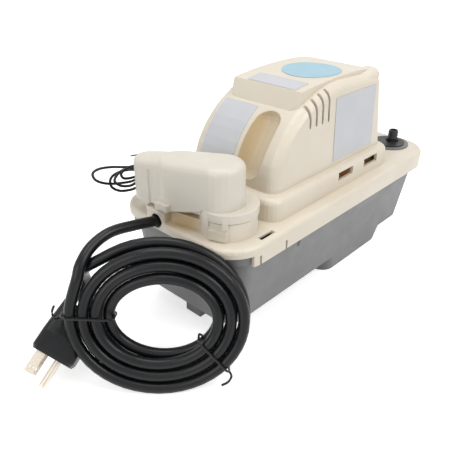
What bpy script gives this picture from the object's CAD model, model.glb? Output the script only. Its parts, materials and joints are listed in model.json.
"""Looks of the condensate pump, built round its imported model."""
import json
import math

import bpy
from mathutils import Matrix, Vector


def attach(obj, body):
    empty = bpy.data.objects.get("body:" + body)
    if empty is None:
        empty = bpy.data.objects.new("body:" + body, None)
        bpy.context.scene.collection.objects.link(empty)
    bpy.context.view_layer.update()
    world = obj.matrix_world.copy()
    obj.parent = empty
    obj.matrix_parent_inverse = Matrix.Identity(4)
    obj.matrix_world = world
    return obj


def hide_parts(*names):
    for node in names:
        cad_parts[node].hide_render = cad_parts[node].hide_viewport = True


MM = 0.001

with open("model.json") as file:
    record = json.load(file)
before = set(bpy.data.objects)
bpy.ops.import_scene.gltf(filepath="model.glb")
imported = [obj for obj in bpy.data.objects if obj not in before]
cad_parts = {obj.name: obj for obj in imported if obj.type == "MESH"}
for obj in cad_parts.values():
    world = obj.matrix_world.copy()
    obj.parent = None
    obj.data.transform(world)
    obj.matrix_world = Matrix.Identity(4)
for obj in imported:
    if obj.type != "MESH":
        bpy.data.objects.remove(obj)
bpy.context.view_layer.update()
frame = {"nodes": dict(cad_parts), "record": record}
NODES = frame["nodes"]


# Camera, solved from the cover's outline and the inlets in the photograph
CAMERA_PLACE = (-0.3571, -0.2612, 0.2810)
CAMERA_AZIMUTH = math.radians(-46.5)
CAMERA_TILT = math.radians(29.5)
CAMERA_SENSOR = 36
CAMERA_NEAR = 0.01
FOCAL_PX = 549
PHOTO_PX = 450


def make_camera():
    data = bpy.data.cameras.new("camera")
    data.sensor_width = CAMERA_SENSOR
    data.lens = CAMERA_SENSOR * FOCAL_PX / PHOTO_PX
    data.clip_start = CAMERA_NEAR
    camera = bpy.data.objects.new("camera", data)
    bpy.context.collection.objects.link(camera)
    right = Vector((math.cos(CAMERA_AZIMUTH), math.sin(CAMERA_AZIMUTH), 0))
    level = math.cos(CAMERA_TILT)
    ahead = Vector((-right.y * level, right.x * level, -math.sin(CAMERA_TILT)))
    up = right.cross(ahead)
    turn = Matrix((right, up, -ahead)).transposed().to_4x4()
    camera.matrix_world = Matrix.Translation(CAMERA_PLACE) @ turn
    bpy.context.scene.camera = camera


make_camera()


# Cords: the routes of the part's source, in millimetres
FIT = 0.3
CORD_D = 7.8
CORD_STRAIGHT = 6.2
CORD_STEPS = 4
CORD_SIDES = 6
GLAND_FACE = -131.5
GLAND_Y, GLAND_Z = 14, 88.2
FREE_MIDS = ((-156, 15.3, 91), (-177, 16.5, 93.5), (-193.5, 15.5, 90), (-205.4, 11.8, 83.5))
TAIL_MIDS = ((-200.3, 16.5, 75.6), (-197.3, 24.9, 65.7), (-194.3, 29.1, 56.8))
PLUG_BACK = Vector((-207.7, 29.8, 44))
PLUG_DIR = Vector((-0.833, -0.146, -0.534)).normalized()
PLUG_RUN_IN = 4 / 3 * CORD_D

COIL_MID = Vector((-177.4, -32, 47.9))
COIL_AZ = math.radians(-136)
COIL_EL = math.radians(19)
COIL_A, COIL_B = 48.2, 39.6
COIL_FROM = 163
COIL_IN = 2.75
COIL_CLIMB = 0.5
COIL_BACK_TO = 40 / 360
COIL_TURNS = 2 * COIL_IN + COIL_CLIMB - COIL_BACK_TO
COIL_PITCH = CORD_D + 0.8
COIL_LAYER = CORD_D + 0.7
COIL_TUCK = 1.5
COIL_POINTS = 48
COIL_STEP = 0.001
COIL_W = Vector((-math.sin(COIL_AZ), math.cos(COIL_AZ), 0))
COIL_N = Vector((
    math.cos(COIL_EL) * math.cos(COIL_AZ),
    math.cos(COIL_EL) * math.sin(COIL_AZ),
    math.sin(COIL_EL),
))
COIL_V = COIL_N.cross(COIL_W)

LEAD_D = 2
LEAD_STEPS = 8
LEAD_SIDES = 4
CAP_X, CAP_Y, CAP_R = -128, 31.5, 11.5
LEAD_Z = 103.5
LEAD_FROM = Vector((CAP_X - (CAP_R + FIT) / 2, CAP_Y + (CAP_R + FIT) * math.sqrt(3) / 2, LEAD_Z))
# Each lead: how far above LEAD_FROM it starts, then the points that it goes through
LEAD_ROUTES = (
    (0, (-137, 45.5, 101.5), (-144.5, 48, 102.5), (-150, 50, 107), (-148, 53, 112),
     (-138, 57, 112.5), (-123, 60, 109), (-116, 59.5, 104), (-126, 55, 102.5),
     (-142, 52, 106.5), (-154, 50, 111), (-162, 50.5, 116), (-162, 54, 120),
     (-154, 58, 120), (-140, 62, 116), (-122, 64, 110), (-113, 62, 112),
     (-112, 60, 117.5), (-118, 60, 119.5)),
    (4, (-138, 44.5, 105.5), (-145, 46.5, 107.5), (-147.5, 49, 112), (-138, 53, 115),
     (-125, 56, 112), (-120, 54, 107.5), (-129, 50, 108), (-139, 49, 110.5),
     (-140, 50.5, 114.5), (-132, 52, 116), (-124, 53.5, 115)),
)


def coil_side(t):
    """0 on the coil's first layer, 1 on its second."""
    return min(1, max(0, (t - COIL_IN) / COIL_CLIMB))


def coil_spread(t):
    """How far the cord lies outside the coil's mean oval."""
    if t < COIL_IN:
        turn = t
    elif t > COIL_IN + COIL_CLIMB:
        turn = COIL_TURNS - t + COIL_BACK_TO
    else:
        turn = COIL_IN
    return COIL_PITCH * (COIL_IN / 2 - turn) - COIL_TUCK * math.sin(math.pi * coil_side(t))


def coil_at(t):
    """Place on the coil after t turns."""
    a = math.radians(COIL_FROM + 360 * t)
    spread = coil_spread(t)
    return (
        COIL_MID
        + (COIL_A + spread) * math.cos(a) * COIL_W
        + (COIL_B + spread) * math.sin(a) * COIL_V
        + COIL_LAYER * math.cos(math.pi * coil_side(t)) / 2 * COIL_N
    )


def curve_points(points, steps):
    """Smooth curve through the points, as the source draws it."""
    points = [Vector(p) for p in points]
    points = [2 * points[0] - points[1], *points, 2 * points[-1] - points[-2]]
    made = []
    for a, b, c, d in zip(points, points[1:], points[2:], points[3:]):
        for k in range(steps):
            t = k / steps
            made.append((
                2 * b
                + (c - a) * t
                + (2 * a - 5 * b + 4 * c - d) * t**2
                + (3 * b - a - 3 * c + d) * t**3
            ) / 2)
    return made + [points[-2]]


def cord_route():
    """Whole cord, from the gland round the coil to the plug."""
    start_dir = (coil_at(COIL_STEP) - coil_at(0)).normalized()
    end_dir = (coil_at(COIL_TURNS) - coil_at(COIL_TURNS - COIL_STEP)).normalized()
    first = coil_at(0) - CORD_D * start_dir
    last = coil_at(COIL_TURNS) + CORD_D * end_dir
    gland = [(GLAND_FACE - FIT, GLAND_Y, GLAND_Z), (GLAND_FACE - CORD_D, GLAND_Y, GLAND_Z)]
    free = [*gland, *FREE_MIDS, first - CORD_STRAIGHT * start_dir, first]
    tail = [last, last + CORD_STRAIGHT * end_dir, *TAIL_MIDS]
    tail += [PLUG_BACK - PLUG_RUN_IN * PLUG_DIR, PLUG_BACK]
    count = round(COIL_TURNS * COIL_POINTS)
    coil = [coil_at(COIL_TURNS * i / count) for i in range(count + 1)]
    return curve_points(free, CORD_STEPS) + coil + curve_points(tail, CORD_STEPS)


def lead_route(row):
    rise, *points = row
    return curve_points([LEAD_FROM + Vector((0, 0, rise)), *points], LEAD_STEPS)


# Shader nodes
def node_tree(name):
    material = bpy.data.materials.new(name)
    material.use_nodes = True
    tree = material.node_tree
    return material, tree, tree.nodes["Principled BSDF"]


def add_node(tree, kind, **settings):
    node = tree.nodes.new("ShaderNode" + kind)
    for name, value in settings.items():
        setattr(node, name, value)
    return node


def set_inputs(tree, node, values):
    """Give a node's inputs constants, or links where the value is a socket."""
    for name, value in values.items():
        if isinstance(value, bpy.types.NodeSocket):
            tree.links.new(value, node.inputs[name])
        else:
            node.inputs[name].default_value = value


def maths(tree, operation, *values):
    node = add_node(tree, "Math", operation=operation)
    set_inputs(tree, node, dict(enumerate(values)))
    return node.outputs["Value"]


def split_axes(tree, vector):
    node = add_node(tree, "SeparateXYZ")
    tree.links.new(vector, node.inputs["Vector"])
    return node.outputs


def add_noise(tree, scale, detail, stretch=(1, 1, 1)):
    place = add_node(tree, "TexCoord").outputs["Object"]
    mapping = add_node(tree, "Mapping")
    set_inputs(tree, mapping, {"Vector": place, "Scale": stretch})
    noise = add_node(tree, "TexNoise")
    set_inputs(tree, noise, {
        "Vector": mapping.outputs["Vector"], "Scale": scale, "Detail": detail,
    })
    return noise.outputs["Fac"]


def ramp(tree, source, low, high, at_low, at_high):
    node = add_node(tree, "MapRange")
    set_inputs(tree, node, {
        "Value": source, "From Min": low, "From Max": high, "To Min": at_low, "To Max": at_high,
    })
    return node.outputs["Result"]


def mix_colours(tree, factor, a, b, blend="MIX"):
    node = add_node(tree, "Mix", data_type="RGBA", blend_type=blend)
    set_inputs(tree, node, {"Factor": factor, "A": a, "B": b})
    return node.outputs["Result"]


def add_bump(tree, shader, height, strength, depth):
    bump = add_node(tree, "Bump")
    set_inputs(tree, bump, {"Height": height, "Strength": strength, "Distance": depth})
    tree.links.new(bump.outputs["Normal"], shader.inputs["Normal"])


# Materials, all worked out from the place on the piece
DRIFT_BAND = (0.35, 0.65)
GLOSS_BAND = (0.3, 0.7)
PLASTIC_IOR = 1.48
SCATTER_REACH = (0.003, 0.002, 0.001)
MARK_STRETCH = (1, 1, 30)
MARK_SHADE = 0.8


def add_drift(tree, shader, colour, other, scale):
    """Slow drift from one colour to the other."""
    factor = ramp(tree, add_noise(tree, scale, detail=3), *DRIFT_BAND, 0, 1)
    set_inputs(tree, shader, {"Base Color": mix_colours(tree, factor, (*colour, 1), (*other, 1))})


def add_gloss(tree, shader, noise, smoothest, roughest):
    set_inputs(tree, shader, {"Roughness": ramp(tree, noise, *GLOSS_BAND, smoothest, roughest)})


def moulded(name, colour, other, rough, grain=0.12, grain_scale=1400, scatter=0, specular=0.5):
    """Moulded plastic: slow colour drift, fine grain, uneven gloss."""
    material, tree, shader = node_tree(name)
    add_drift(tree, shader, colour, other, scale=22)
    patches = add_noise(tree, scale=90, detail=5)
    add_gloss(tree, shader, patches, smoothest=rough - 0.05, roughest=rough + 0.07)
    fine = add_noise(tree, grain_scale, detail=2)
    add_bump(tree, shader, fine, strength=grain, depth=0.0002)
    set_inputs(tree, shader, {"IOR": PLASTIC_IOR, "Specular IOR Level": specular})
    if scatter:
        set_inputs(tree, shader, {
            "Subsurface Weight": scatter,
            "Subsurface Radius": SCATTER_REACH,
            "Subsurface Scale": 1,
        })
    return material


def metal(name, colour, rough):
    """Turned metal, with fine marks across Z."""
    material, tree, shader = node_tree(name)
    marks = add_noise(tree, scale=160, detail=4, stretch=MARK_STRETCH)
    darker = [MARK_SHADE * c for c in colour]
    set_inputs(tree, shader, {
        "Base Color": mix_colours(tree, marks, (*colour, 1), (*darker, 1)),
        "Metallic": 1,
    })
    add_gloss(tree, shader, marks, smoothest=rough - 0.08, roughest=rough + 0.1)
    add_bump(tree, shader, marks, strength=0.1, depth=0.0001)
    return material


def paper(name, colour, other):
    """Blank coated paper."""
    material, tree, shader = node_tree(name)
    add_drift(tree, shader, colour, other, scale=60)
    fibre = add_noise(tree, scale=2500, detail=3)
    add_gloss(tree, shader, fibre, smoothest=0.38, roughest=0.5)
    add_bump(tree, shader, fibre, strength=0.05, depth=0.0001)
    return material


CREAM = moulded("cream_plastic", (0.755, 0.69, 0.58), (0.725, 0.655, 0.54), 0.34, scatter=0.05)
RUBBER = moulded(
    "black_rubber", (0.005, 0.0055, 0.0065), (0.008, 0.0085, 0.0095), 0.3,
    grain=0.04, grain_scale=900, specular=0.3,
)
BY_SLOT = {
    "cream_plastic": CREAM,
    "natural_plastic": moulded(
        "natural_plastic", (0.72, 0.68, 0.595), (0.685, 0.64, 0.55), 0.36, scatter=0.1),
    "grey_plastic": moulded(
        "grey_plastic", (0.19, 0.191, 0.191), (0.172, 0.173, 0.175), 0.42, grain=0.2),
    "black_plastic": moulded(
        "black_plastic", (0.014, 0.014, 0.016), (0.02, 0.02, 0.022), 0.38),
    "black_rubber": RUBBER,
    "steel": metal("steel", (0.6, 0.6, 0.62), 0.35),
    "copper": metal("copper", (0.34, 0.23, 0.17), 0.45),
    "brass": metal("brass", (0.78, 0.70, 0.60), 0.3),
    "label_paper": paper("label_paper", (0.59, 0.60, 0.625), (0.57, 0.58, 0.605)),
    "label_blue": paper("label_blue", (0.36, 0.56, 0.66), (0.34, 0.54, 0.64)),
}

# Deck inside the hood, seen through its slots: axis, middle and half width in metres
INNER_DECK = (("X", -0.005, 0.07), ("Y", 0, 0.0495), ("Z", 0.088, 0.0004))
INNER_COLOUR = (0.5, 0.26, 0.12, 1)
INNER_GLOW = (0.11, 0.05, 0.018, 1)
INNER_GLOW_STRENGTH = 0.7
# Hollows where the plastic lights itself, in millimetres: full tint within inner, none past outer
SCOOP = {
    "middle": (-68.4, -16.5, 136.8), "turn_y": 35.4, "half_length": 18.5,
    "inner": 12, "outer": 13, "tint": (0.76, 0.64, 0.45), "fade": (-10, 8),
}
RECESS = {
    "middle": (-127, -4, 95), "turn_y": 0, "half_length": 0,
    "inner": 7, "outer": 18, "tint": (0.84, 0.7, 0.5),
}
FADED_SHARE = 0.15


def cream_copy(name):
    """Copy of the cream plastic, with its tree, its shader and the socket of its colour."""
    material = CREAM.copy()
    material.name = name
    tree = material.node_tree
    shader = tree.nodes["Principled BSDF"]
    return material, tree, shader, shader.inputs["Base Color"].links[0].from_socket


def inner_deck(tree, shader, plain):
    """Warm brown on the deck inside the hood; returns the new colour's socket."""
    axes = split_axes(tree, add_node(tree, "TexCoord").outputs["Object"])
    inside = [maths(tree, "COMPARE", axes[a], middle, half) for a, middle, half in INNER_DECK]
    mask = inside[0]
    for more in inside[1:]:
        mask = maths(tree, "MULTIPLY", mask, more)
    set_inputs(tree, shader, {
        "Emission Color": INNER_GLOW,
        "Emission Strength": maths(tree, "MULTIPLY", mask, INNER_GLOW_STRENGTH),
    })
    return mix_colours(tree, mask, plain, INNER_COLOUR)


def tint_hollow(tree, plain, middle, turn_y, half_length, inner, outer, tint, fade=None):
    """Warm tint round a short axis in a hollow, fading to one side in Y where fade is given."""
    local = add_node(tree, "Mapping", vector_type="TEXTURE")
    set_inputs(tree, local, {
        "Vector": add_node(tree, "TexCoord").outputs["Object"],
        "Location": [c * MM for c in middle],
        "Rotation": (0, math.radians(turn_y), 0),
    })
    axes = split_axes(tree, local.outputs["Vector"])
    past_end = maths(tree, "SUBTRACT", maths(tree, "ABSOLUTE", axes["Z"]), half_length * MM)
    away = add_node(tree, "CombineXYZ")
    set_inputs(tree, away, {
        "X": axes["X"], "Y": axes["Y"], "Z": maths(tree, "MAXIMUM", past_end, 0),
    })
    distance = add_node(tree, "VectorMath", operation="LENGTH")
    tree.links.new(away.outputs["Vector"], distance.inputs[0])
    near = ramp(tree, distance.outputs["Value"], inner * MM, outer * MM, 1, 0)
    if fade:
        side = ramp(tree, axes["Y"], fade[0] * MM, fade[1] * MM, FADED_SHARE, 1)
        near = maths(tree, "MULTIPLY", near, side)
    return mix_colours(tree, near, plain, (*tint, 1), blend="MULTIPLY")


def wear(piece, material):
    """Put one material in every slot of a piece."""
    if not piece.data.materials:
        piece.data.materials.append(material)
    for i in range(len(piece.data.materials)):
        piece.data.materials[i] = material


def dress_nodes():
    for row in frame["record"]["subparts"]:
        wear(NODES[row["node"]], BY_SLOT[row["material_slot"]])
    hood, tree, shader, plain = cream_copy("cream_hood")
    set_inputs(tree, shader, {"Base Color": tint_hollow(tree, plain, **SCOOP)})
    wear(NODES["motor_cover"], hood)
    deck, tree, shader, plain = cream_copy("cream_deck")
    brown = inner_deck(tree, shader, plain)
    set_inputs(tree, shader, {"Base Color": tint_hollow(tree, brown, **RECESS)})
    wear(NODES["tank_cover"], deck)


dress_nodes()


# Faces that meet at less than this many degrees are shaded as one
SMOOTH_ANGLE = 35
SHARPER = {"tank": 30, "tank_cover": 30, "switch_base": 30}

for node_name, node_piece in NODES.items():
    node_piece.data.shade_smooth()
    node_piece.data.set_sharp_from_angle(
        angle=math.radians(SHARPER.get(node_name, SMOOTH_ANGLE)))


def make_curve(name, points, diameter, sides):
    data = bpy.data.curves.new(name, "CURVE")
    data.dimensions = "3D"
    data.bevel_depth = diameter / 2 * MM
    data.bevel_resolution = sides
    data.use_fill_caps = True
    spline = data.splines.new("POLY")
    spline.points.add(len(points) - 1)
    for target, point in zip(spline.points, points):
        target.co = (*(point * MM), 1)
    data.materials.append(RUBBER)
    piece = bpy.data.objects.new(name, data)
    bpy.context.collection.objects.link(piece)
    return piece


def make_cords():
    points = cord_route()
    cord = make_curve("supply_cord", points, CORD_D, CORD_SIDES)
    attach(cord, "base")
    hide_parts("power_cord", "cord_coil", "cord_tail")
    for i, row in enumerate(LEAD_ROUTES):
        points = lead_route(row)
        lead = make_curve(f"lead_{i}", points, LEAD_D, LEAD_SIDES)
        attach(lead, "base")
        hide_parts("signal_leads")


make_cords()


# Floor, world and lamps
WHITE = (1, 1, 1, 1)
FLOOR_COLOUR = (0.9, 0.9, 0.9, 1)
FLOOR_ROUGH = 0.8
FLOOR_GLOW = 0.62
FLOOR_SIZE = 12
FLOOR_Z = -0.0002
WORLD_LIGHT = 0.36
# Each lamp: name, place and diameter in metres, power in watts
LAMPS = (
    ("key", (0.25, -0.95, 0.95), 0.7, 6.4),
    ("top", (-0.1, 0.1, 1.3), 0.9, 6.6),
    ("fill", (-1.1, -0.05, 0.6), 0.8, 3.4),
)
LAMP_AIM = Vector((0, 0, 0.08))


def seen_directly(tree):
    """1 for what the camera sees straight, in a mirror or through glass."""
    path = add_node(tree, "LightPath").outputs
    found = maths(tree, "MAXIMUM", path["Is Camera Ray"], path["Is Glossy Ray"])
    return maths(tree, "MAXIMUM", found, path["Is Transmission Ray"])


def pick_surface(tree, output, lit, seen):
    """Use seen for rays that show the background, and lit for all others."""
    pick = add_node(tree, "MixShader")
    set_inputs(tree, pick, {"Fac": seen_directly(tree), 1: lit, 2: seen})
    tree.links.new(pick.outputs["Shader"], tree.nodes[output].inputs["Surface"])


def make_floor():
    bpy.ops.mesh.primitive_plane_add(size=FLOOR_SIZE, location=(0, 0, FLOOR_Z))
    floor = bpy.context.object
    floor.name = "floor"
    material, tree, shader = node_tree("floor")
    set_inputs(tree, shader, {"Base Color": FLOOR_COLOUR, "Roughness": FLOOR_ROUGH})
    glow = add_node(tree, "Emission")
    set_inputs(tree, glow, {"Color": WHITE, "Strength": FLOOR_GLOW})
    both = add_node(tree, "AddShader")
    set_inputs(tree, both, {0: shader.outputs["BSDF"], 1: glow.outputs["Emission"]})
    pick_surface(tree, "Material Output", shader.outputs["BSDF"], both.outputs["Shader"])
    floor.data.materials.append(material)


def make_world():
    world = bpy.data.worlds.new("world")
    bpy.context.scene.world = world
    world.use_nodes = True
    tree = world.node_tree
    lit = tree.nodes["Background"]
    set_inputs(tree, lit, {"Color": WHITE, "Strength": WORLD_LIGHT})
    seen = add_node(tree, "Background")
    set_inputs(tree, seen, {"Color": WHITE, "Strength": 1})
    pick_surface(
        tree, "World Output", lit.outputs["Background"], seen.outputs["Background"])


def make_lamp(name, place, diameter, power):
    data = bpy.data.lights.new(name, "AREA")
    data.shape = "DISK"
    data.size = diameter
    data.energy = power
    lamp = bpy.data.objects.new(name, data)
    bpy.context.collection.objects.link(lamp)
    lamp.location = place
    lamp.rotation_euler = (LAMP_AIM - Vector(place)).to_track_quat("-Z", "Y").to_euler()


make_floor()
make_world()
for lamp_row in LAMPS:
    make_lamp(*lamp_row)

bpy.context.scene.view_settings.view_transform = "Standard"
